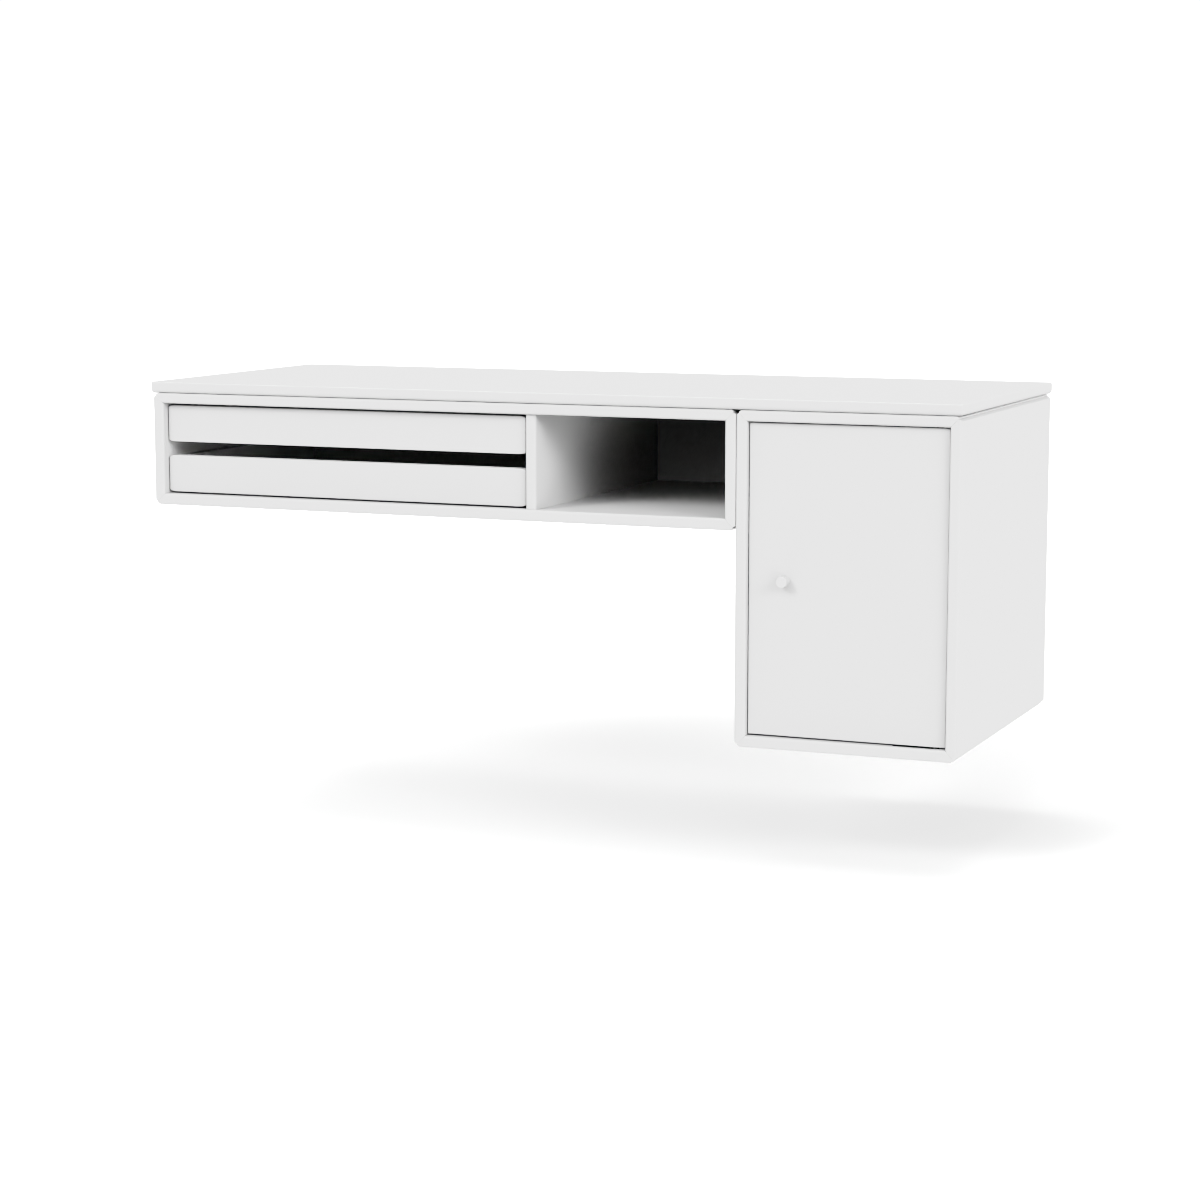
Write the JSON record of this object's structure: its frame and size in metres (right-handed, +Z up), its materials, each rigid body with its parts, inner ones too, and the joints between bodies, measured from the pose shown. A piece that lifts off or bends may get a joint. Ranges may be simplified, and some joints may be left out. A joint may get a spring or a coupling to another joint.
{
  "type": "floating wall desk",
  "caption": "Wall-hung white writing desk: a thin top over a low case with pull-out trays and an open bay, beside a tall case with a hinged door and round knob.",
  "frame": {"origin": "centre of the long wall rail's row of screw holes, on the wall plane", "axes": "+X to the right seen from the front, +Y from the front into the wall, +Z up"},
  "size_m": [0.9398, 0.3873, 0.366],
  "materials": {
    "white_lacquer": "satin white lacquer on board",
    "white_knob": "satin white lacquer on turned wood",
    "beech": "bare, sanded",
    "zinc_steel": "zinc plated",
    "stainless_steel": "brushed",
    "nylon": "black, matte",
    "aluminium": "mill",
    "rubber": "matte",
    "white_plastic": "matte",
    "magnet_steel": "nickel plated"
  },
  "bodies": {
    "desk": {"long_case_top_board": "white_lacquer", "long_case_bottom_board": "white_lacquer", "long_case_left_side": "white_lacquer", "long_case_right_side": "white_lacquer", "long_case_divider": "white_lacquer", "long_case_back_panel": "white_lacquer", "long_case_corner_splines": "beech", "divider_dowels": "beech", "long_case_back_pins": "zinc_steel", "door_case_top_board": "white_lacquer", "door_case_bottom_board": "white_lacquer", "door_case_left_side": "white_lacquer", "door_case_right_side": "white_lacquer", "door_case_back_panel": "white_lacquer", "door_case_corner_splines": "beech", "door_case_back_pins": "zinc_steel", "desk_top": "white_lacquer", "desk_top_screws": "zinc_steel", "case_connector_bolts": "zinc_steel", "case_connector_sleeves": "zinc_steel", "long_wall_rail": "aluminium", "door_wall_rail": "aluminium", "long_case_cleat": "aluminium", "door_case_cleat": "aluminium", "cleat_screws": "zinc_steel", "wall_buffers": "rubber", "upper_tray_left_runner": "beech", "upper_tray_right_runner": "beech", "lower_tray_left_runner": "beech", "lower_tray_right_runner": "beech", "runner_screws": "zinc_steel", "upper_hinge_case_leaf": "stainless_steel", "lower_hinge_case_leaf": "stainless_steel", "hinge_pins": "stainless_steel", "hinge_washers": "nylon", "hinge_case_screws": "zinc_steel", "magnet_catch": "white_plastic", "catch_magnet": "magnet_steel", "catch_screws": "zinc_steel"},
    "upper_tray": {"upper_tray_front": "white_lacquer", "upper_tray_left_side": "white_lacquer", "upper_tray_right_side": "white_lacquer", "upper_tray_back": "white_lacquer", "upper_tray_bottom": "white_lacquer", "upper_tray_dowels": "beech"},
    "lower_tray": {"lower_tray_front": "white_lacquer", "lower_tray_left_side": "white_lacquer", "lower_tray_right_side": "white_lacquer", "lower_tray_back": "white_lacquer", "lower_tray_bottom": "white_lacquer", "lower_tray_dowels": "beech"},
    "door": {"door_panel": "white_lacquer", "door_knob": "white_knob", "knob_screw": "zinc_steel", "upper_hinge_door_leaf": "stainless_steel", "lower_hinge_door_leaf": "stainless_steel", "hinge_door_screws": "zinc_steel", "strike_plate": "zinc_steel", "strike_screw": "zinc_steel"}
  },
  "joints": [
    {"name": "door_hinge", "type": "hinge", "parent": "desk", "child": "door", "pos_m": [0.5631, -0.36925, -0.141], "axis": [0, 0, 1], "range_deg": [0, 100]},
    {"name": "upper_tray_slide", "type": "slide", "parent": "desk", "child": "upper_tray", "axis": [0, -1, 0], "range_m": [0, 0.25]},
    {"name": "lower_tray_slide", "type": "slide", "parent": "desk", "child": "lower_tray", "axis": [0, -1, 0], "range_m": [0, 0.25]}
  ]
}
